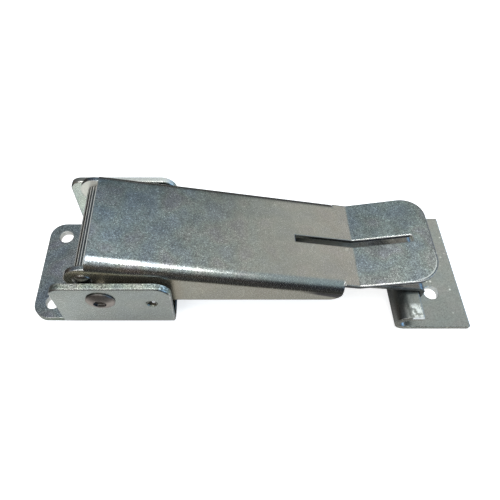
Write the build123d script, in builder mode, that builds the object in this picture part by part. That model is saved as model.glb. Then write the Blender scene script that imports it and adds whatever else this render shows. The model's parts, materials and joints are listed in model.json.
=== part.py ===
from build123d import *
from math import asin, atan2, cos, degrees, hypot, radians, sin
import os

# Over centre toggle latch: a folded bracket, a folded lever, a rolled claw strap and a hooked keeper.
# X runs from the bracket to the keeper, +Z away from the panel. The origin is the middle of the
# bracket's four bolt holes, on the face that lies on the panel. The latch is drawn closed.

os.makedirs("parts", exist_ok=True)

# Clearances
running_clearance = 0.05
face_clearance = 0.1
seat_clearance = 0.3

# Base bracket, one folded sheet
base_sheet = 3.0
base_inside_bend = 5.5
channel_width = 50.0
ear_length = 47.0
ear_height = 35.0
ear_outer_corner = 5.0
ear_inner_corner = 7.0
flange_length = 16.0
flange_width = 50.0
flange_corner = 7.0
bolt_row_spacing = 44.0
bolt_column_spacing = 35.0
bolt_hole_radius = 3.3
bolt_edge_distance = 8.0
dimple_radius = 2.5
dimple_depth = 1.5
dimple_from_pivot = 19.8
dimple_drop = 3.0
base_edge_break = 0.4

# Pivot screws, one through each ear, with a spacer and a clinch nut
pivot_from_ear_edge = 19.2
pivot_height = 26.0
shoulder_radius = 3.5
thread_radius = 3.0
head_radius = 5.8
head_height = 2.0
head_rim = 0.4
socket_across_flats = 4.7
socket_depth = 1.5
spacer_radius = 5.4
nut_radius = 4.8
nut_length = 2.6

# Link pin, one rivet through both lever walls
link_back = 6.2
link_rise = 7.5
link_pin_radius = 2.0
link_head_radius = 3.8
link_head_height = 1.6
link_head_rim = 0.3

# Lever, one folded sheet
lever_sheet = 2.0
lever_outside_bend = 5.0
side_gap = 2.0
lever_slope = 10.8
web_above_pivot = 16.9
web_behind_pivot = 6.8
wall_reach = 96.2
wall_corner = 5.0
pivot_lobe_radius = 9.5
link_lobe_radius = 7.2
tongue_neck = 6.3
tongue_slope = 11.3
tongue_length = 32.1
tongue_width = 41.0
tongue_corner = 10.0
tongue_bend_radius = 1.5
slot_width = 3.5
slot_before_bend = 25.6
slot_past_bend = 25.0
slot_corner = 1.0

# Claw strap, one rolled sheet
claw_sheet = 2.0
claw_past_nut = 1.9
eye_end_clearance = 0.5
roll_start = -12.0
shoulder_reach = 1.5
hook_bend_radius = 2.0
hook_gap = 1.2
hook_drop = 4.4
hook_corner = 1.0
claw_edge_break = 0.35

# Keeper, one folded sheet
keeper_sheet = 2.5
keeper_width = 58.0
keeper_curl_radius = 5.5
keeper_leaf_length = 5.3
keeper_plate_length = 28.0
keeper_distance = 132.7
keeper_bolt_from_end = 13.0
keeper_bolt_spacing = 25.0
keeper_edge_break = 0.3

# Places that follow from the sizes above
base_left = -bolt_row_spacing / 2 - bolt_edge_distance
ear_left = base_left + flange_length
ear_right = ear_left + ear_length
ear_face = channel_width / 2
ear_outside = ear_face + base_sheet
pivot_x = ear_left + pivot_from_ear_edge
link_x = pivot_x - link_back
link_z = pivot_height + link_rise
wall_face = ear_face - side_gap
wall_inside = wall_face - lever_sheet
pin_bore_radius = link_pin_radius + running_clearance
wall_bottom = pivot_height - pivot_lobe_radius

dimple_x = pivot_x + dimple_from_pivot
dimple_z = pivot_height - dimple_drop

# Directions along the lever's web and square to it
along_x = cos(radians(lever_slope))
along_z = -sin(radians(lever_slope))


def on_lever(along, above):
    """Place in the XZ plane, from distances along the web and square to it, counted from the pivot."""
    return (
        pivot_x + along * along_x - above * along_z,
        pivot_height + along * along_z + above * along_x,
    )


def cap_radius(rim_radius, height):
    """Radius of the sphere that makes a cap of this height on a rim."""
    return (rim_radius**2 + height**2) / (2 * height)


lever_section = Plane(
    origin=(pivot_x, 0, pivot_height),
    x_dir=(0, 1, 0),
    z_dir=(along_x, 0, along_z),
)
channel_start = -web_behind_pivot - 2 * link_lobe_radius
tongue_start = wall_reach + tongue_neck
wall_foot = on_lever(wall_reach, (wall_bottom - pivot_height - wall_reach * along_z) / along_x)
tongue_bend = on_lever(tongue_start, web_above_pivot)
tongue_tip = (
    tongue_bend[0] + tongue_length * cos(radians(tongue_slope)),
    tongue_bend[1] + tongue_length * sin(radians(tongue_slope)),
)
slot_left = tongue_bend[0] - slot_before_bend * along_x
slot_right = tongue_bend[0] + slot_past_bend * cos(radians(tongue_slope))
above_all = link_z + web_above_pivot

# The strap leaves the eye at its foot and lies just over the end of the keeper's leaf
leaf_end = keeper_distance + keeper_leaf_length
leaf_top = 2 * keeper_curl_radius
eye_radius = pin_bore_radius + claw_sheet
leaf_away = hypot(leaf_end - link_x, leaf_top - link_z)
claw_angle = atan2(leaf_top - link_z, leaf_end - link_x) + asin((eye_radius + seat_clearance) / leaf_away)
claw_plane = Plane(
    origin=(link_x, 0, link_z),
    x_dir=(cos(claw_angle), 0, sin(claw_angle)),
    z_dir=(0, -1, 0),
)
hook_below = eye_radius + hook_bend_radius
hook_along = (leaf_end + hook_gap - hook_bend_radius - link_x - hook_below * sin(claw_angle)) / cos(claw_angle)
dimple_sphere = cap_radius(dimple_radius, dimple_depth)
head_seat = ear_outside + face_clearance
screw_end = wall_inside - nut_length
claw_half_width = screw_end - claw_past_nut
hook_centre = (hook_along, -hook_below)
hook_turn = 90 + degrees(claw_angle)
eye_half_width = wall_inside - eye_end_clearance
keeper_bolt_x = keeper_distance + keeper_plate_length - keeper_bolt_from_end

pivot_axis = Axis((pivot_x, 0, pivot_height), (0, 1, 0))
link_axis = Axis((link_x, 0, link_z), (0, 1, 0))


# Base bracket
with BuildPart() as base_bracket:
    with BuildSketch(Plane.YZ.offset(ear_left)):
        with Locations((0, ear_height / 2)):
            Rectangle(2 * ear_outside, ear_height)
        fillet(vertices().group_by(Axis.Y)[0], base_inside_bend + base_sheet)
    extrude(amount=ear_length)
    with BuildSketch(Plane.YZ.offset(ear_left)):
        with Locations((0, base_sheet + ear_height / 2)):
            Rectangle(channel_width, ear_height)
        fillet(vertices().group_by(Axis.Y)[0], base_inside_bend)
    extrude(amount=ear_length, mode=Mode.SUBTRACT)
    ear_tops = edges().filter_by(Axis.Y).group_by(Axis.Z)[-1].group_by(Axis.X)
    fillet(ear_tops[-1], ear_inner_corner)
    ear_tops = edges().filter_by(Axis.Y).group_by(Axis.Z)[-1].group_by(Axis.X)
    fillet(ear_tops[0], ear_outer_corner)
    ear_rims = faces().filter_by(GeomType.PLANE).filter_by(Axis.Y).edges()
    ear_rims = ear_rims.filter_by(lambda e: e.bounding_box().max.Z > base_inside_bend + 2 * base_sheet)
    chamfer(ear_rims, base_edge_break)
    with BuildSketch():
        with Locations((base_left, 0)):
            Rectangle(flange_length + base_sheet, flange_width, align=(Align.MIN, Align.CENTER))
        fillet(vertices().group_by(Axis.X)[0], flange_corner)
    extrude(amount=base_sheet)
    with BuildSketch():
        with GridLocations(bolt_row_spacing, bolt_column_spacing, 2, 2):
            Circle(bolt_hole_radius)
    extrude(amount=base_sheet, mode=Mode.SUBTRACT)
    with BuildSketch(Plane.XZ):
        with Locations((pivot_x, pivot_height)):
            Circle(shoulder_radius + running_clearance)
    extrude(amount=ear_outside, both=True, mode=Mode.SUBTRACT)
    with Locations(
        (dimple_x, ear_face + dimple_sphere - dimple_depth, dimple_z),
        (dimple_x, -ear_face - dimple_sphere + dimple_depth, dimple_z),
    ):
        Sphere(dimple_sphere)
    with Locations(
        (dimple_x, ear_outside + dimple_sphere - dimple_depth, dimple_z),
        (dimple_x, -ear_outside - dimple_sphere + dimple_depth, dimple_z),
    ):
        Sphere(dimple_sphere, mode=Mode.SUBTRACT)
base_bracket.part.label = "base_bracket"
export_step(base_bracket.part, "parts/base_bracket.step")

# Lever: a channel with tapering walls, cut to the wall's outline, and the bent tongue
with BuildPart() as lever:
    with BuildSketch(lever_section.offset(channel_start)):
        with Locations((0, web_above_pivot)):
            Rectangle(2 * wall_face, 3 * web_above_pivot, align=(Align.CENTER, Align.MAX))
        fillet(vertices().group_by(Axis.Y)[-1], lever_outside_bend)
    extrude(amount=wall_reach - channel_start)
    with BuildSketch(lever_section.offset(channel_start)):
        with Locations((0, web_above_pivot - lever_sheet)):
            Rectangle(2 * wall_inside, 3 * web_above_pivot, align=(Align.CENTER, Align.MAX))
        fillet(vertices().group_by(Axis.Y)[-1], lever_outside_bend - lever_sheet)
    extrude(amount=wall_reach - channel_start, mode=Mode.SUBTRACT)
    with BuildSketch(Plane.XZ) as wall_outline:
        with Locations((pivot_x, pivot_height)):
            Circle(pivot_lobe_radius)
        with Locations((link_x, link_z)):
            Circle(link_lobe_radius)
        make_hull()
        with BuildLine():
            Polyline(
                (pivot_x, wall_bottom),
                wall_foot,
                on_lever(wall_reach, web_above_pivot + lever_sheet),
                on_lever(-web_behind_pivot, web_above_pivot + lever_sheet),
                on_lever(-web_behind_pivot, link_rise),
                (pivot_x, pivot_height),
                close=True,
            )
        make_face()
        fillet(wall_outline.vertices().sort_by_distance(wall_foot)[0], wall_corner)
    extrude(amount=ear_outside, both=True, mode=Mode.INTERSECT)
    with BuildSketch(Plane.XZ):
        with BuildLine():
            FilletPolyline(
                on_lever(wall_reach, web_above_pivot),
                on_lever(tongue_start, web_above_pivot),
                tongue_tip,
                radius=tongue_bend_radius,
            )
            offset(amount=lever_sheet, side=Side.RIGHT)
        make_face()
    extrude(amount=tongue_width / 2, both=True)
    tip_corners = faces().sort_by(Axis.X)[-1].edges().filter_by(Axis.Y, reverse=True)
    fillet(tip_corners, tongue_corner)
    with BuildSketch():
        with Locations((slot_left, 0)):
            Rectangle(slot_right - slot_left, slot_width, align=(Align.MIN, Align.CENTER))
        fillet(vertices().group_by(Axis.X)[-1], slot_corner)
    extrude(amount=above_all, mode=Mode.SUBTRACT)
    with BuildSketch(Plane.XZ):
        with Locations((pivot_x, pivot_height)):
            Circle(thread_radius + running_clearance)
        with Locations((link_x, link_z)):
            Circle(link_pin_radius)
    extrude(amount=ear_outside, both=True, mode=Mode.SUBTRACT)
lever.part.label = "lever"
export_step(lever.part, "parts/lever.step")

# Claw strap: an eye rolled round the link pin, a flat strap, and a hook past the keeper's leaf
with BuildPart() as claw_strap:
    with BuildSketch(claw_plane):
        with BuildLine():
            roll_inside = CenterArc((0, 0), pin_bore_radius, roll_start, 270 - roll_start)
            roll_outside = CenterArc((0, 0), eye_radius, roll_start, 270 - roll_start)
            bend_outside = CenterArc(hook_centre, hook_bend_radius + claw_sheet, 90, -hook_turn)
            bend_inside = CenterArc(hook_centre, hook_bend_radius, 90, -hook_turn)
            drop_outside = Line(bend_outside @ 1, bend_outside @ 1 + (bend_outside % 1) * hook_drop)
            drop_inside = Line(bend_inside @ 1, bend_inside @ 1 + (bend_inside % 1) * hook_drop)
            Line(roll_inside @ 0, roll_outside @ 0)
            Line(roll_inside @ 1, bend_outside @ 0)
            Line(roll_outside @ 1, bend_inside @ 0)
            Line(drop_outside @ 1, drop_inside @ 1)
        make_face()
    extrude(amount=claw_half_width, both=True)
    tip_corners = edges().filter_by(lambda e: abs(e.length - claw_sheet) < 0.01)
    tip_corners = tip_corners.group_by(Axis.Z)[0]
    fillet(tip_corners, hook_corner)
    strap_sides = faces().filter_by(GeomType.PLANE).filter_by(Axis.Y)
    chamfer(strap_sides.edges().filter_by(lambda e: e.center().X > pivot_x), claw_edge_break)
    with BuildSketch(claw_plane):
        with BuildLine():
            roll_inside = CenterArc((0, 0), pin_bore_radius, roll_start, 270 - roll_start)
            roll_outside = CenterArc((0, 0), eye_radius, roll_start, 270 - roll_start)
            flat_inside = Line(roll_inside @ 1, roll_inside @ 1 + (shoulder_reach, 0))
            flat_outside = Line(roll_outside @ 1, roll_outside @ 1 + (shoulder_reach, 0))
            Line(roll_inside @ 0, roll_outside @ 0)
            Line(flat_inside @ 1, flat_outside @ 1)
        make_face()
    extrude(amount=eye_half_width, both=True)
claw_strap.part.label = "claw_strap"
export_step(claw_strap.part, "parts/claw_strap.step")

# Keeper: a plate with its near edge curled up and over into a leaf
with BuildPart() as keeper:
    with BuildSketch(Plane.XZ):
        with BuildLine():
            Line((keeper_distance + keeper_plate_length, 0), (keeper_distance, 0))
            CenterArc((keeper_distance, keeper_curl_radius), keeper_curl_radius, 270, -180)
            Line((keeper_distance, leaf_top), (leaf_end, leaf_top))
            offset(amount=keeper_sheet, side=Side.RIGHT)
        make_face()
    extrude(amount=keeper_width / 2, both=True)
    chamfer(faces().filter_by(GeomType.PLANE).filter_by(Axis.Y).edges(), keeper_edge_break)
    with BuildSketch():
        with Locations((keeper_bolt_x, 0)):
            with GridLocations(1, keeper_bolt_spacing, 1, 2):
                Circle(bolt_hole_radius)
    extrude(amount=keeper_sheet, mode=Mode.SUBTRACT)
keeper.part.label = "keeper"
export_step(keeper.part, "parts/keeper.step")

# Link pin: a rivet with a domed head outside each lever wall
with BuildPart() as link_pin:
    with BuildSketch(Plane.XY.offset(link_z)):
        with BuildLine():
            middle = Line((link_x, 0), (link_x + link_pin_radius, 0))
            shank = Line(middle @ 1, (link_x + link_pin_radius, wall_face))
            seat = Line(shank @ 1, (link_x + link_head_radius, wall_face))
            rim = Line(seat @ 1, seat @ 1 + (0, link_head_rim))
            crown = (link_x, wall_face + link_head_height)
            RadiusArc(rim @ 1, crown, -cap_radius(link_head_radius, link_head_height - link_head_rim))
            Line(crown, middle @ 0)
        make_face()
    revolve(axis=link_axis)
    mirror(about=Plane.XZ)
link_pin.part.label = "link_pin"
export_step(link_pin.part, "parts/link_pin.step")

# At each ear: a button head screw as the pivot, a spacer ring and a round clinch nut
for place, side in (("front", -1), ("rear", 1)):
    with BuildPart() as pivot_screw:
        with BuildSketch(Plane.XY.offset(pivot_height)):
            with BuildLine():
                end = Line((pivot_x, side * screw_end), (pivot_x + thread_radius, side * screw_end))
                thread = Line(end @ 1, (pivot_x + thread_radius, side * wall_face))
                step = Line(thread @ 1, (pivot_x + shoulder_radius, side * wall_face))
                shoulder = Line(step @ 1, (pivot_x + shoulder_radius, side * head_seat))
                seat = Line(shoulder @ 1, (pivot_x + head_radius, side * head_seat))
                rim = Line(seat @ 1, seat @ 1 + (0, side * head_rim))
                crown = (pivot_x, side * (head_seat + head_height))
                RadiusArc(rim @ 1, crown, -side * cap_radius(head_radius, head_height - head_rim))
                Line(crown, end @ 0)
            make_face()
        revolve(axis=pivot_axis)
        with BuildSketch(Plane.XZ.offset(-side * (head_seat + head_height))):
            with Locations((pivot_x, pivot_height)):
                RegularPolygon(socket_across_flats / 2, 6, major_radius=False)
        extrude(amount=side * socket_depth, mode=Mode.SUBTRACT)
    name = "pivot_screw_" + place
    pivot_screw.part.label = name
    export_step(pivot_screw.part, "parts/" + name + ".step")

    with BuildPart() as pivot_spacer:
        with BuildSketch(Plane.XZ.offset(-side * wall_face)):
            with Locations((pivot_x, pivot_height)):
                Circle(spacer_radius)
                Circle(shoulder_radius + running_clearance, mode=Mode.SUBTRACT)
        extrude(amount=-side * (side_gap - face_clearance))
    name = "pivot_spacer_" + place
    pivot_spacer.part.label = name
    export_step(pivot_spacer.part, "parts/" + name + ".step")

    with BuildPart() as pivot_nut:
        with BuildSketch(Plane.XZ.offset(-side * wall_inside)):
            with Locations((pivot_x, pivot_height)):
                Circle(nut_radius)
                Circle(thread_radius + running_clearance, mode=Mode.SUBTRACT)
        extrude(amount=side * nut_length)
    name = "pivot_nut_" + place
    pivot_nut.part.label = name
    export_step(pivot_nut.part, "parts/" + name + ".step")
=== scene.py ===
import json
from math import radians

import bpy
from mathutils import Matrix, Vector


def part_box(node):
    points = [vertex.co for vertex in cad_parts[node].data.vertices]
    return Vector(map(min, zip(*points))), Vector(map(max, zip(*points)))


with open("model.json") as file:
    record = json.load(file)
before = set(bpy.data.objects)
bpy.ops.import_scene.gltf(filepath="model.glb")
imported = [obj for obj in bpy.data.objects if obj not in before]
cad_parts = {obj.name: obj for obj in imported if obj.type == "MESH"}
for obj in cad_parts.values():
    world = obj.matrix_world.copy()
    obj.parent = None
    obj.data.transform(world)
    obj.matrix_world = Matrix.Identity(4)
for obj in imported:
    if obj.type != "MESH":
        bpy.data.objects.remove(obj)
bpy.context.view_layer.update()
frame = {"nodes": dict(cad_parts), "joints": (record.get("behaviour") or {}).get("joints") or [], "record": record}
nodes = frame["nodes"]
print("frame loaded:", len(nodes), "nodes")

mm = 0.001
hinges = {joint["name"]: joint["pos_m"] for joint in frame["joints"]}
bolts = {mount["name"]: mount for mount in frame["record"]["mounts"]}


def corners(node):
    # lowest and highest corner of a piece, in mm
    return [[value / mm for value in corner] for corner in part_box(node)]


# x runs from left to right and y from the near side to the far one, as the camera sees the latch;
# the camera stands at the near side and looks down
view = {
    "place": (50.28 * mm, -109.3 * mm, 191.7 * mm),
    "tiltDown": 56.73,              # degrees below level
    "sensor": 36.0,                 # mm, and the lens too
    "lens": 33.65,
    "shift": (0.0692, -0.0161),
    "nearest": 5 * mm,
}


def setCamera(view):
    data = bpy.data.cameras.new("camera")
    data.sensor_width = view["sensor"]
    data.lens = view["lens"]
    data.shift_x, data.shift_y = view["shift"]
    data.clip_start = view["nearest"]
    camera = bpy.data.objects.new("camera", data)
    camera.location = view["place"]
    camera.rotation_euler = (radians(90 - view["tiltDown"]), 0.0, 0.0)
    bpy.context.scene.collection.objects.link(camera)
    bpy.context.scene.camera = camera


setCamera(view)
print("camera set")


class Nodes:
    # the nodes of one material or world; value holds the measures that its masks go by

    def __init__(self, owner):
        owner.use_nodes = True
        self.tree = owner.node_tree
        self.tree.nodes.clear()
        self.value = {}

    def add(self, kind, inputs=None, **settings):
        # an input is a number, a colour or another node's output
        node = self.tree.nodes.new("ShaderNode" + kind)
        for key, value in settings.items():
            setattr(node, key, value)
        for key, value in (inputs or {}).items():
            if isinstance(value, bpy.types.NodeSocket):
                self.tree.links.new(value, node.inputs[key])
            else:
                node.inputs[key].default_value = value
        return node

    def maths(self, operation, *values, clamp=False):
        return self.add("Math", dict(enumerate(values)), operation=operation, use_clamp=clamp).outputs[0]

    def times(self, *values):
        product = values[0]
        for value in values[1:]:
            product = self.maths("MULTIPLY", product, value)
        return product

    def mapRange(self, value, low, high, toLow=0.0, toHigh=1.0):
        return self.add("MapRange", {"Value": value, "From Min": low, "From Max": high,
                                     "To Min": toLow, "To Max": toHigh}).outputs["Result"]

    def band(self, value, *ends):
        # comes in from the first end to the second, and goes out again from the third to the fourth
        rise = self.mapRange(value, *ends[:2])
        if len(ends) == 2:
            return rise
        return self.maths("SUBTRACT", rise, self.mapRange(value, *ends[2:]), clamp=True)

    def mask(self, where):
        # 1 inside every band of a place; the strongest of several places counts
        if isinstance(where, list):
            mask = self.mask(where[0])
            for place in where[1:]:
                mask = self.maths("MAXIMUM", mask, self.mask(place))
            return mask
        factors = [self.band(self.value[key], *ends) for key, ends in where.items() if key != "amount"]
        if "amount" in where:
            factors.append(where["amount"])
        return self.times(*factors)

    def parts(self, vector):
        return self.add("SeparateXYZ", {0: vector}).outputs

    def vector(self, operation, *values):
        # a length, a distance or a product of two vectors
        return self.add("VectorMath", dict(enumerate(values)), operation=operation).outputs["Value"]

    def grey(self, value):
        return self.add("CombineColor", {0: value, 1: value, 2: value}).outputs["Color"]

    def channel(self, colour, index):
        return self.add("SeparateColor", {"Color": colour}).outputs[index]

    def blend(self, fac, a, b, mode="MIX"):
        # a colour is three numbers, or another node's output
        a, b = [(*c, 1.0) if isinstance(c, tuple) else c for c in (a, b)]
        return self.add("Mix", {0: fac, 6: a, 7: b}, data_type="RGBA", blend_type=mode).outputs[2]

    def ramp(self, fac, stops):
        # colour ramp through (place, colour) stops
        node = self.add("ValToRGB", {"Fac": fac})
        band = node.color_ramp
        while len(band.elements) < len(stops):
            band.elements.new(0.5)
        for element, (place, colour) in zip(band.elements, stops):
            element.position = place
            element.color = (*colour, 1.0)
        return node.outputs["Color"]

    def noise(self, place, size, detail, rough):
        # noise with grains of the given size in mm, spread to about 0..1
        fac = self.add("TexNoise", {"Vector": place, "Scale": 1 / (size * mm), "Detail": detail,
                                    "Roughness": rough}).outputs["Fac"]
        return self.mapRange(fac, 0.3, 0.7)


class Surface(Nodes):
    # the material of one piece, with the colour, metal and roughness worked out so far; its masks go by
    #   x, y, z              place, in mm
    #   out                  distance from the middle plane, in mm
    #   faceX, faceY, faceZ  direction in which the surface faces
    #   sideways, level      faceY and faceZ without their sign

    def __init__(self, name, look):
        self.material = bpy.data.materials.new(name)
        super().__init__(self.material)
        coords = self.add("TexCoord").outputs
        self.place = coords["Object"]
        inMm = self.add("VectorMath", {0: self.place, "Scale": 1 / mm}, operation="SCALE").outputs[0]
        at = self.parts(inMm)
        facing = self.parts(coords["Normal"])
        self.value = {
            "x": at["X"], "y": at["Y"], "z": at["Z"],
            "out": self.maths("ABSOLUTE", at["Y"]),
            "faceX": facing["X"], "faceY": facing["Y"], "faceZ": facing["Z"],
            "sideways": self.maths("ABSOLUTE", facing["Y"]),
            "level": self.maths("ABSOLUTE", facing["Z"]),
        }
        for measure in look["measures"]:
            self.value[measure.__name__] = measure(self)

    def cells(self, size):
        return self.add("TexVoronoi", {"Vector": self.place, "Scale": 1 / (size * mm)}).outputs

    def scaled(self, scale, shift=(0.0, 0.0, 0.0)):
        return self.add("Mapping", {"Vector": self.place, "Location": shift, "Scale": scale}).outputs[0]


# zinc plated sheet; every size is in mm, a noise has its size, detail and roughness, and each piece has
# its own copy with its own changes
sheetLook = {
    "tints": ((0.355, 0.385, 0.410), (0.375, 0.402, 0.402), (0.395, 0.420, 0.385), (0.430, 0.415, 0.380),
              (0.425, 0.400, 0.410)),   # passivation colours, cool to warm to lilac
    "cloudNoise": (9, 1.0, 0.4),        # slow change of tint
    "stain": 0.30,                      # darker patches of the passivation
    "stainNoise": (8, 2.0, 0.5),
    "grain": 0.3,                       # mottle of the plating
    "grainNoise": (0.32, 3.0, 0.65),
    "speckle": 0.80,                    # flakes of different tone
    "flakeSize": 0.32 / 0.7,
    "fleck": 1.5,                       # tiny bright spangles
    "fleckSpacing": 0.85,
    "fleckEdge": (0.28, 0.16),
    "fleckShare": (0.62, 0.95),         # few of the cells have one
    "scratch": 0.38,                    # thin curved scratches
    "scratchNoise": (15, 1.0, 0.3),
    "scratchEdge": (0.008, 0.002),
    "scratchShare": (0.45, 0.60),       # they run only over the stains
    "roughness": (0.17, 0.30),
    "bump": 0.006,
    "cutTone": 1.35,                    # a sheared edge against the face
    "cutTint": (1.0, 0.99, 0.91),
    "cutRough": (0.10, 0.35),
    "cutHeight": 6.0,
    "cutMatt": 0.3,                     # share of the sheared edge that scatters light
    "tear": (0.35, 1.6),                # how far the edge's tone wanders
    "tearNoise": (0.5, 2.0, 0.6),
    "tearEdge": (0.1, 0.9),
    "edgeRadius": 0.45,
    "highlightStrength": 0.15,                    # how much brighter the painted highlight makes rounded corners
    "rightShadeStrength": 0.0,                   # how much painted shade darkens the corners that face right
    "plain": (0.385, 0.410, 0.392),     # colour of the calm stretches
    "plainShare": 0.75,
    "calmBy": 0.7,                      # how much quieter they are
    "calm": [],                         # places of the calm stretches
    "cut": [],                          # places of the sheared edges
    "wearAndPaintedLight": [],                         # patches laid over each other: wear, painted highlights and painted shade
    "measures": [],                     # functions for what the surface's own values can't tell
}


def plating(sheet, look):
    # clouds of tint, stains, mottle, spangles, and scratches where a slow noise crosses its middle
    tints = look["tints"]
    cloud = sheet.noise(sheet.place, *look["cloudNoise"])
    sheet.colour = sheet.ramp(cloud, [(i / (len(tints) - 1), tint) for i, tint in enumerate(tints)])
    stain = sheet.noise(sheet.place, *look["stainNoise"])
    grain = sheet.noise(sheet.place, *look["grainNoise"])
    spot = sheet.cells(look["fleckSpacing"])
    fleck = sheet.times(sheet.band(spot["Distance"], *look["fleckEdge"]),
                        sheet.band(sheet.channel(spot["Color"], 1), *look["fleckShare"]))
    flake = sheet.channel(sheet.cells(look["flakeSize"])["Color"], 0)
    mottle = sheet.maths("MULTIPLY_ADD", grain, look["grain"], -look["grain"] / 2)
    mottle = sheet.maths("MULTIPLY_ADD", sheet.maths("SUBTRACT", flake, 0.5), look["speckle"], mottle)
    mottle = sheet.maths("MULTIPLY_ADD", fleck, look["fleck"], mottle)
    patch = sheet.times(sheet.maths("SUBTRACT", stain, 0.5), look["stain"])
    if look["calm"]:
        lively = sheet.times(*[sheet.maths("MULTIPLY_ADD", sheet.mask(place), -look["calmBy"], 1.0)
                               for place in look["calm"]])
        mottle = sheet.times(mottle, lively)
        patch = sheet.times(patch, lively)
        sheet.colour = sheet.blend(sheet.times(lively, look["plainShare"]), look["plain"], sheet.colour)
    course = sheet.maths("SUBTRACT", sheet.noise(sheet.place, *look["scratchNoise"]), 0.5)
    scratch = sheet.times(sheet.band(sheet.maths("ABSOLUTE", course), *look["scratchEdge"]),
                          sheet.band(stain, *look["scratchShare"]))
    sheet.tone = sheet.times(sheet.maths("ADD", mottle, 1.0), sheet.maths("ADD", patch, 1.0))
    sheet.tone = sheet.maths("MULTIPLY_ADD", scratch, look["scratch"], sheet.tone)
    sheet.rough = sheet.mapRange(grain, 0.0, 1.0, *look["roughness"])
    sheet.height = grain
    sheet.metal = 1.0


def shearedEdges(sheet, look):
    # torn, duller and of another tint where the sheet was cut
    edge = sheet.mask(look["cut"])
    tear = sheet.noise(sheet.place, *look["tearNoise"])
    torn = sheet.times(sheet.mapRange(tear, *look["tearEdge"], *look["tear"]), look["cutTone"])
    change = sheet.maths("MULTIPLY_ADD", edge, sheet.maths("SUBTRACT", torn, 1.0), 1.0)
    sheet.tone = sheet.times(sheet.tone, change)
    sheet.colour = sheet.blend(edge, sheet.colour, look["cutTint"], "MULTIPLY")
    duller = sheet.mapRange(tear, 0.0, 1.0, *look["cutRough"])
    sheet.rough = sheet.maths("MULTIPLY_ADD", edge, duller, sheet.rough)
    sheet.height = sheet.maths("MULTIPLY_ADD", edge, sheet.times(tear, look["cutHeight"]), sheet.height)
    sheet.metal = sheet.maths("MULTIPLY_ADD", edge, -look["cutMatt"], sheet.metal)


def wearAndPaintedLight(sheet, patches):
    # a patch covers the plating or tints it where it lies, and may change its metal and its roughness; some
    # patches are wear, others are painted highlights and painted shade
    for patch in patches:
        share = sheet.mask(patch["where"])
        if "tint" in patch:
            tint = patch["tint"] if isinstance(patch["tint"], tuple) else (patch["tint"],) * 3
            sheet.colour = sheet.blend(share, sheet.colour, tint, "MULTIPLY")
        if "cover" in patch:
            sheet.colour = sheet.blend(share, sheet.colour, patch["cover"])
        if "metal" in patch:
            sheet.metal = sheet.maths("MULTIPLY_ADD", share, patch["metal"], sheet.metal)
        if "rough" in patch:
            sheet.rough = sheet.maths("MULTIPLY_ADD", share, patch["rough"], sheet.rough)


# painted highlight and painted shade on corners, which are found by how far the rounded normal turns from the flat
# one, 1 where it doesn't
cornerLight = {
    "corner": (0.99, 0.93),
    "bright": (0.95, 0.95, 0.92),
    "rightCorner": (0.998, 0.98),
    "rightFacing": (0.12, 0.35),
    "rightShade": (0.05, 0.05, 0.06),
}


def paintedCornerLight(sheet, look):
    # corners are rounded and given a painted highlight, and those that face right may get painted shade
    sheet.normal = sheet.add("Bevel", {"Radius": look["edgeRadius"] * mm}, samples=6).outputs[0]
    turn = sheet.vector("DOT_PRODUCT", sheet.normal, sheet.add("NewGeometry").outputs["Normal"])
    rightShade = sheet.times(sheet.band(sheet.parts(sheet.normal)["X"], *cornerLight["rightFacing"]),
                       sheet.band(turn, *cornerLight["rightCorner"]), look["rightShadeStrength"])
    bright = sheet.times(sheet.band(turn, *cornerLight["corner"]), look["highlightStrength"],
                         sheet.maths("SUBTRACT", 1.0, rightShade))
    sheet.colour = sheet.blend(rightShade, sheet.colour, cornerLight["rightShade"])
    sheet.colour = sheet.blend(bright, sheet.colour, cornerLight["bright"])


def platedSheet(name, look):
    sheet = Surface(name, look)
    plating(sheet, look)
    if look["cut"]:
        shearedEdges(sheet, look)
    sheet.colour = sheet.blend(1.0, sheet.colour, sheet.grey(sheet.tone), "MULTIPLY")
    wearAndPaintedLight(sheet, look["wearAndPaintedLight"])
    paintedCornerLight(sheet, look)
    bump = sheet.add("Bump", {"Height": sheet.height, "Distance": look["bump"] * mm, "Normal": sheet.normal})
    shader = sheet.add("BsdfPrincipled", {"Base Color": sheet.colour, "Metallic": sheet.metal,
                                          "Roughness": sheet.rough, "Normal": bump.outputs[0]})
    sheet.add("OutputMaterial", {"Surface": shader.outputs[0]})
    print(name, "mixed")
    return sheet.material


def around(centre, half, soft=0.1):
    # a band of half this width on both sides of a centre
    return (centre - half - soft, centre - half + soft, centre + half - soft, centre + half + soft)


def fromAxis(sheet, x, z):
    # distance from an axis across the latch
    flat = sheet.add("CombineXYZ", {"X": sheet.value["x"], "Z": sheet.value["z"]}).outputs[0]
    return sheet.vector("DISTANCE", flat, (x, 0.0, z))


def belowLine(sheet, height, slope):
    # how far a point lies below a line that runs along the latch
    line = sheet.maths("MULTIPLY_ADD", sheet.value["x"], slope, height)
    return sheet.maths("SUBTRACT", line, sheet.value["z"])


upright = (0.7, 0.5)                    # level on the sheared edges of flat sheet
longSide = (0.5, 0.7)                   # sideways on the sheared edges of the long sides
# colour of the painted highlights on the lever's edges
paleEdgeHighlight = (0.95, 0.95, 0.92)

# bracket: a near ear and a far ear, each with a pressed dimple
_, (earRight, earOut, earTop) = corners("base_bracket")
bracketSheet = 3.0
earIn = earOut - bracketSheet
baseBolts = bolts["base_bolts"]["dims"]
nearEar = {"faceY": (-0.85, -0.95)}
leftCorner = {"sideways": (0.6, 0.3), "z": (earTop - 15, earTop - 11), "amount": 0.8}


def fromDimple(sheet):
    return fromAxis(sheet, *bracketLook["dimple"])


def fromGlint(sheet):
    return fromAxis(sheet, *bracketLook["glint"])


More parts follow.
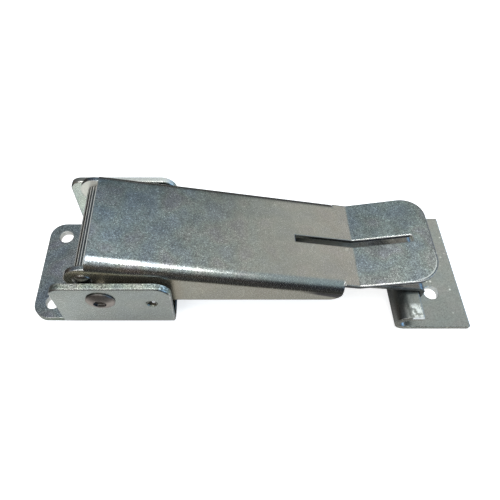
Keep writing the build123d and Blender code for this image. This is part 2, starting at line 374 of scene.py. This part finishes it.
bracketLook = {
    **sheetLook,
    "dimple": (earRight - 8, earTop - 12),
    "glint": (earRight - 7.5, earTop - 12.8),
    "cutTone": 0.93,
    "cutTint": (0.97, 1.0, 0.90),
    "tear": (0.15, 1.95),
    "cut": [{"out": (earIn - 0.2, earIn), "z": (8.9, 9.1), "sideways": upright},       # ears
            {"z": (bracketSheet + 0.04, bracketSheet), "level": upright}],             # plate
    "calm": [{"sideways": (0.4, 0.9)}],
    "measures": [fromDimple, fromGlint],
    "wearAndPaintedLight": [
        # the far ear's top edge is paler, and both ears are dark at their left corners
        {"where": {"y": (earIn - 0.5, earIn), "z": (earTop - 7, earTop - 5), "faceZ": (0.5, 0.9),
                   "amount": 0.75}, "cover": (0.90, 0.88, 0.82)},
        {"where": [{"y": (earIn - 0.5, earIn), "x": (3, -3), **leftCorner},
                   {"y": (0.5 - earIn, -earIn), "x": (-8.5, -12), **leftCorner}],
         "cover": (0.07, 0.07, 0.06)},
        # painted shade darkens the near ear towards its right end and its foot
        {"where": nearEar, "tint": (0.96, 1.0, 0.98)},
        {"where": {**nearEar, "x": (8, earRight)}, "tint": 0.84},
        {"where": {**nearEar, "z": (5, 0.5)}, "tint": 0.72},
        # painted shade low on the right end face, over the pane's blue reflection
        {"where": {"x": (earRight - 0.7, earRight - 0.3), "z": (8, 6), "amount": 0.8},
         "cover": (0.06, 0.05, 0.04)},
        # the dimples are darker, painted shade in the pit, and smoother, with a painted white glint
        {"where": {"fromDimple": (2.6, 2.3)}, "tint": (0.55, 0.55, 0.52), "rough": -0.20},
        {"where": {"fromDimple": (2.6, 2.3), "fromGlint": (0.75, 0.5)}, "cover": (1.0, 1.0, 1.0),
         "metal": -0.9},
        # the walls of the left bolt holes are pale and matt, a painted highlight
        {"where": {"x": around(-baseBolts["spacing_x_mm"] / 2, 4),
                   "out": around(baseBolts["spacing_y_mm"] / 2, 4), "level": upright},
         "cover": (0.85, 0.85, 0.82), "metal": -0.6},
    ],
}

# lever: a folded channel whose web falls to the right, and a slotted tongue that rises again
_, (leverEnd, _, _) = corners("lever")
tongueStart = 109.0
wall = {"sideways": (0.90, 0.99)}
web = {"faceZ": (0.85, 0.95)}
inSlot = {"out": (2.1, 1.9)}
tongueSide = {"faceY": (-0.3, -0.5), "x": (tongueStart + 1, tongueStart + 4)}
tongueEnd = {"faceZ": (0.5, 0.9), "x": (leverEnd - 10.4, leverEnd - 9.4)}


def belowPaintedBand(sheet):
    look = leverLook
    foot = belowLine(sheet, look["foldFoot"], look["webSlope"])
    letDown = sheet.mapRange(sheet.value["x"], *look["bandDropRun"], 0.0, look["bandDrop"])
    return sheet.maths("SUBTRACT", foot, letDown)


def belowTop(sheet):
    return belowLine(sheet, leverLook["tongueTop"], leverLook["tongueSlope"])


def fromCorner(sheet):
    x, y = leverLook["endCorner"]
    past = sheet.maths("MAXIMUM", sheet.maths("SUBTRACT", sheet.value["x"], x), 0.0)
    aside = sheet.maths("MAXIMUM", sheet.maths("SUBTRACT", sheet.value["out"], y), 0.0)
    along = sheet.times(past, leverLook["alongTongue"])
    return sheet.vector("LENGTH", sheet.add("CombineXYZ", {"X": along, "Y": aside}).outputs[0])


leverLook = {
    **sheetLook,
    "webSlope": -0.19075,
    "foldFoot": 39.2,                   # height of the fold's lower side, drawn back to x = 0
    "bandDrop": 2.0,                       # how far the painted dark band is let down at its right end
    "bandDropRun": (86, 101),
    "tongueSlope": 0.1998,
    "tongueTop": 1.60,                  # height of the tongue's upper side, drawn back to x = 0
    "alongTongue": 1.02,                # a step along the tongue against its step in x
    "endCorner": (leverEnd - 10.22, 10.5),      # middle of the tongue's rounded corners
    "plain": (0.400, 0.401, 0.381),
    # the sheared edges are painted twice as light: their own paler tone, and partly a painted highlight
    "cutTone": 2.0,
    "cutMatt": 0.6,
    "tear": (0.8, 1.2),
    "edgeRadius": 0.7,
    "highlightStrength": 0.5,
    "rightShadeStrength": 0.93,
    "cut": [{"x": (tongueStart - 4.1, tongueStart - 3.9), "level": upright}, {**inSlot, "level": upright}],
    "calm": [{"x": (40, 80, tongueStart - 0.5, tongueStart + 0.5)}, {"sideways": (0.85, 0.98)}],
    "measures": [belowPaintedBand, belowTop, fromCorner],
    "wearAndPaintedLight": [
        # painted shade along the sheared left end, and darker along the walls towards the right
        {"where": {"x": (0.6, -2.5)}, "tint": 0.62},
        {"where": wall, "tint": (0.90, 0.88, 0.78)},
        {"where": {**wall, "x": (40, 90)}, "tint": 0.83},
        # a painted dark reflection of the fold droops onto the wall at its right end
        {"where": {**wall, "x": (84, 92), "belowPaintedBand": (0.35, -0.25), "amount": 0.97},
         "cover": (0.022, 0.022, 0.027)},
        # behind the near ear the wall is duller and painted brown, a painted light in the dark gap
        {"where": {"faceY": (-0.95, -0.995), "x": (38, 33)}, "cover": (0.34, 0.30, 0.22), "metal": -0.22},
        # painted shade at the web's far left, and bluer all along the web's left
        {"where": {**web, "y": (0, 18), "x": (80, 45)}, "tint": 0.78},
        {"where": {**web, "x": (70, 20)}, "tint": (0.93, 0.97, 1.04)},
        # the far lug's inner face is painted pale and matt, a painted light
        {"where": {"faceY": (-0.6, -0.9), "y": (19, 20), "x": (3, 0)}, "cover": (0.95, 0.93, 0.85),
         "metal": -0.6},
        # the tongue's near edge has a painted highlight along its top, and the slot's wall is darker along the
        # web, painted shade
        {"where": {**tongueSide, "belowTop": (0.65, 0.50)}, "cover": paleEdgeHighlight},
        {"where": {**inSlot, "level": (0.6, 0.4), "x": (tongueStart + 4, tongueStart - 1)}, "tint": 0.4},
        # a painted highlight line runs inside the tongue's rounded end
        {"where": {**tongueEnd, "fromCorner": (9.0, 9.2, 9.3, 9.5), "y": (-5, -14), "amount": 0.85},
         "cover": paleEdgeHighlight, "metal": -0.5},
        # painted shade: a dark line under the near edge's highlight and a dark rim round the tongue's end; the
        # foot of the near edge is darker
        {"where": [{**tongueSide, "belowTop": (0.57, 0.73, 0.92, 1.08), "amount": 0.8},
                   {**tongueSide, "belowTop": (0.65, 0.80), "amount": 0.5},
                   {**tongueEnd, "fromCorner": (9.5, 9.7), "amount": 0.75}],
         "cover": (0.04, 0.04, 0.045)},
    ],
}

# strap: rolled into an eye round the link pin at its left and bent to a hook at its right
_, (strapEnd, _, _) = corners("claw_strap")
pinX = hinges["claw_pivot"][0] / mm
eye = {"x": (pinX + 5.5, pinX + 4.5)}


def eyeStripe(sheet):
    return sheet.noise(sheet.scaled(strapLook["stripeStretch"]), *strapLook["stripeNoise"])


def highlightLine(sheet):
    # runs from 0 to 1 over each step
    perStep = 1 / strapLook["highlightStep"]
    steps = sheet.maths("MULTIPLY_ADD", sheet.value["x"], perStep, strapLook["highlightStart"])
    return sheet.maths("FRACT", steps)


def fromLitPatch(sheet):
    # 0 in the middle of the oval patch and 1 at its rim
    long, wide = strapLook["litPatchHalf"]
    oval = sheet.scaled((1 / (long * mm), 1 / (wide * mm), 0.0), (-strapLook["litPatchMiddle"] / long, 0.0, 0.0))
    return sheet.vector("LENGTH", oval)


strapLook = {
    **sheetLook,
    "stripeNoise": (0.45, 1.0, 0.5),
    "stripeStretch": (1.0, 0.004, 1.0),    # the lines run along the roll
    "highlightStep": 1.15,                 # spacing of the painted highlight lines on the eye
    "highlightStart": 4.6,
    "litPatchMiddle": 99.0,                  # middle of the pale painted-light patch, where the lever closes on the strap
    "litPatchHalf": (23.0, 16.0),
    # darker than the other sheet: the strap's own tone and painted shade from the lever above it
    "tints": ((0.27, 0.28, 0.29), (0.30, 0.30, 0.29), (0.31, 0.32, 0.30)),
    "cutTone": 0.75,
    "cut": [{"sideways": longSide}],
    "measures": [eyeStripe, highlightLine, fromLitPatch],
    "wearAndPaintedLight": [
        # the eye is darker, painted shade, with lighter stripes along the roll
        {"where": eye, "tint": 0.35},
        {"where": {**eye, "eyeStripe": (0.35, 0.90)}, "tint": 3.286},
        # darker round the hook, painted shadow of the tongue, and a pale matt patch of painted light where the
        # lever closes on it
        {"where": {"x": (strapEnd - 23.2, strapEnd - 15.2)}, "tint": 0.6},
        {"where": {"fromLitPatch": (1.0, 0.45), "faceZ": (0.4, 0.8)}, "cover": (0.46, 0.43, 0.35), "metal": -0.6},
        # painted highlight lines across the eye, pale and matt
        {"where": {**eye, "highlightLine": (-0.08, 0.08, 0.16, 0.32)}, "cover": (0.85, 0.85, 0.80),
         "metal": -0.7},
    ],
}

# keeper: a plate whose left side is curled over and ends in a short leaf
(keeperLeft, keeperFront, _), (_, _, leafTop) = corners("keeper")
keeperSheet = 2.5
keeperX = bolts["keeper_bolts"]["pos_m"][0] / mm
keeperY = bolts["keeper_bolts"]["dims"]["spacing_y_mm"] / 2
paleMattHighlight = {"cover": (0.88, 0.88, 0.84), "metal": -0.6}


def scuff(sheet):
    return sheet.noise(sheet.place, *keeperLook["scuffNoise"])


keeperLook = {
    **sheetLook,
    "scuffNoise": (2.2, 4.0, 0.7),
    "tints": ((0.3465, 0.369, 0.360), (0.360, 0.3735, 0.351), (0.369, 0.3645, 0.3465)),
    "stain": 0.06,
    "speckle": 0.28,
    "fleckSpacing": 2.2,
    "roughness": (0.26, 0.38),
    "cutTone": 0.85,
    "rightShadeStrength": 0.5,
    "cut": [{"sideways": longSide},
            {"faceX": longSide, "x": (keeperLeft + 10.2, keeperLeft + 10.4)},
            {"level": upright, "z": (keeperSheet + 0.2, keeperSheet), "x": around(keeperX, 7.5)}],
    "measures": [scuff],
    "wearAndPaintedLight": [
        # lighter towards the middle
        {"where": {"y": (keeperFront, 2)}, "tint": 1.2222},
        # scuffs where the strap's hook rubs on the leaf, painted near white as their highlight
        {"where": {"x": (keeperLeft + 5.2, keeperLeft + 6.4, keeperLeft + 9.8, keeperLeft + 11.0),
                   "y": (keeperFront - 0.6, keeperFront + 1.4, keeperFront + 5.5, keeperFront + 7.5),
                   "z": (leafTop - 0.7, leafTop - 0.3), "scuff": (0.35, 0.60)},
         "cover": (0.97, 0.97, 0.90), "rough": 0.25},
        # the rolled side is darkened, painted shade
        {"where": {"x": (keeperLeft + 6.3, keeperLeft + 4.8), "z": (keeperSheet + 0.1, keeperSheet + 0.7)},
         "tint": 0.6},
        # the leaf's near rim and the walls of the bolt holes are pale and matt, painted highlights
        {"where": {"x": around(keeperLeft + 8.55, 2.75), "y": (keeperFront + 0.5, keeperFront + 0.4),
                   "z": (leafTop - 0.9, leafTop - 0.7)}, **paleMattHighlight},
        {"where": {"x": around(keeperX, 4), "out": around(keeperY, 4.5), "level": upright}, **paleMattHighlight},
    ],
}

# the pin, the rings and the nuts are plain dark steel
steelLook = {**sheetLook, "fleck": 0.3, "speckle": 0.3}
pinLook = {**steelLook, "tints": ((0.19, 0.20, 0.20), (0.23, 0.23, 0.22), (0.26, 0.25, 0.23))}


def fromPivot(sheet):
    x, _, z = hinges["lever_pivot"]
    return fromAxis(sheet, x / mm, z / mm)


# the pivot screws have a dark socket and a dark rim, painted shade in the socket and under the rim
screwLook = {
    **steelLook,
    "tints": ((0.36, 0.33, 0.31), (0.40, 0.36, 0.33), (0.43, 0.39, 0.35)),
    "roughness": (0.37, 0.50),
    "measures": [fromPivot],
    "wearAndPaintedLight": [
        {"where": [{"fromPivot": (2.75, 2.55), "amount": 0.75}, {"fromPivot": (5.3, 5.7), "amount": 0.45}],
         "cover": (0.03, 0.026, 0.022)},
    ],
}

dress = {
    "base_bracket": platedSheet("bracketPlating", bracketLook),
    "lever": platedSheet("leverPlating", leverLook),
    "claw_strap": platedSheet("strapPlating", strapLook),
    "keeper": platedSheet("keeperPlating", keeperLook),
    "link_pin": platedSheet("pinPlating", pinLook),
    "pivot_screw_front": platedSheet("screwPlating", screwLook),
}
dress["pivot_screw_rear"] = dress["pivot_screw_front"]
for node, piece in nodes.items():
    for slot in piece.material_slots:
        slot.material = dress.get(node, dress["link_pin"])
print("materials set")

# two soft lamps, in metres
lamps = {
    "softbox": {"place": (0.085, -0.05, 0.60), "size": (0.20, 0.34), "power": 1.45, "aim": (0.06, 0.0, 0.02)},
    "window": {"place": (-0.17, -0.32, 0.46), "size": (0.24, 0.24), "power": 0.75, "aim": (0.0, 0.02, 0.02)},
}


def softLight(name, lamp):
    data = bpy.data.lights.new(name, "AREA")
    data.shape = "RECTANGLE"
    data.size, data.size_y = lamp["size"]
    data.energy = lamp["power"]
    light = bpy.data.objects.new(name, data)
    light.location = lamp["place"]
    light.rotation_euler = (Vector(lamp["aim"]) - light.location).to_track_quat("-Z", "Y").to_euler()
    bpy.context.scene.collection.objects.link(light)


# white floor, in metres; reflections see a glowing painted paper round the latch, and a dim room beyond it
floorLook = {
    "size": 4.0,
    "drop": 0.0002,
    "colour": (0.90, 0.90, 0.90, 1.0),
    "whiten": 0.72,                     # only for the camera
    "paperMiddle": (0.065, 0.01, 0.0),
    "paperHalf": (0.115, 0.060),
    "paperFade": 0.008,
    "paperTone": (0.85, 0.08),          # on the paper and beyond it
    "shadeReach": 0.05,                 # painted shadow on the paper close under the latch
    "skyShare": (0.25, 0.75),
    "shadeTone": (0.1, 1.0),
}


def paperSeen(shade, look):
    place = shade.add("TexCoord").outputs["Object"]
    out = shade.add("VectorMath", {0: place, 1: look["paperMiddle"]}, operation="SUBTRACT").outputs[0]
    out = shade.parts(shade.add("VectorMath", {0: out}, operation="ABSOLUTE").outputs[0])
    beyond = [shade.maths("SUBTRACT", out[axis], half) for axis, half in zip("XY", look["paperHalf"])]
    tone = shade.mapRange(shade.maths("MAXIMUM", *beyond), 0.0, look["paperFade"], *look["paperTone"])
    sky = shade.add("AmbientOcclusion", {"Distance": look["shadeReach"]}, samples=8).outputs["AO"]
    return shade.times(tone, shade.mapRange(sky, *look["skyShare"], *look["shadeTone"]))


def layFloor(look):
    half = look["size"] / 2
    mesh = bpy.data.meshes.new("floor")
    points = [(-half, -half, 0), (half, -half, 0), (half, half, 0), (-half, half, 0)]
    mesh.from_pydata(points, [], [(0, 1, 2, 3)])
    floor = bpy.data.objects.new("floor", mesh)
    bpy.context.scene.collection.objects.link(floor)
    floor.location.z = -look["drop"]
    material = bpy.data.materials.new("paleFloor")
    shade = Nodes(material)
    ray = shade.add("LightPath").outputs
    matt = shade.add("BsdfDiffuse", {"Color": look["colour"]})
    white = shade.add("Emission", {"Strength": shade.times(ray["Is Camera Ray"], look["whiten"])})
    paper = shade.add("Emission", {"Color": shade.grey(paperSeen(shade, look))})
    seen = shade.add("AddShader", {0: matt.outputs[0], 1: white.outputs[0]})
    mirrored = shade.maths("MAXIMUM", ray["Is Glossy Ray"], ray["Is Transmission Ray"])
    mix = shade.add("MixShader", {0: mirrored, 1: seen.outputs[0], 2: paper.outputs[0]})
    shade.add("OutputMaterial", {"Surface": mix.outputs[0]})
    mesh.materials.append(material)


# the room that metal mirrors, by direction; the camera sees white instead
room = {
    "ceiling": ((0.33, (0.29, 0.33, 0.38)), (0.52, (0.285, 0.38, 0.42)), (0.64, (0.41, 0.455, 0.44)),
                (0.71, (0.74, 0.77, 0.72)), (0.78, (0.86, 0.80, 0.72))),        # left to right
    "front": {"where": {"x": (0.30, 0.45), "y": (0.40, 0.20)}, "colour": (0.44, 0.56, 0.60)},
    "glow": {"where": {"x": (-0.25, -0.05, 0.15, 0.38), "y": (0.57, 0.42), "amount": 0.36},
             "colour": (1.0, 1.0, 0.95)},       # round the softbox
    "walls": ((0.35, (0.20, 0.165, 0.13)), (0.57, (0.12, 0.105, 0.09)), (0.66, (0.045, 0.045, 0.05))),
    "wallTop": (0.50, 0.12),
    "frontWall": 0.45,                  # how much higher the walls stand at the front
    "pane": {"where": {"x": (0.68, 0.80), "z": (-0.05, 0.05, 0.45, 0.62)}, "colour": (0.8, 1.45, 2.4)},
}


def setSurroundings(room):
    world = bpy.data.worlds.new("studio")
    bpy.context.scene.world = world
    shade = Nodes(world)
    way = shade.parts(shade.add("TexCoord").outputs["Generated"])
    shade.value = {"x": way["X"], "y": way["Y"], "z": way["Z"]}
    across = shade.mapRange(way["X"], -1.0, 1.0)
    colour = shade.ramp(across, room["ceiling"])
    colour = shade.blend(shade.mask(room["front"]["where"]), colour, room["front"]["colour"])
    colour = shade.blend(shade.mask(room["glow"]["where"]), colour, room["glow"]["colour"], "ADD")
    height = shade.maths("MULTIPLY_ADD", shade.maths("MINIMUM", way["Y"], 0.0), room["frontWall"], way["Z"])
    colour = shade.blend(shade.band(height, *room["wallTop"]), colour, shade.ramp(across, room["walls"]))
    colour = shade.blend(shade.mask(room["pane"]["where"]), colour, room["pane"]["colour"])
    colour = shade.blend(shade.add("LightPath").outputs["Is Camera Ray"], colour, (1.0, 1.0, 1.0))
    back = shade.add("Background", {"Color": colour})
    shade.add("OutputWorld", {"Surface": back.outputs[0]})


for name, lamp in lamps.items():
    softLight(name, lamp)
layFloor(floorLook)
setSurroundings(room)
bpy.context.scene.view_settings.view_transform = "Standard"
print("studio set")
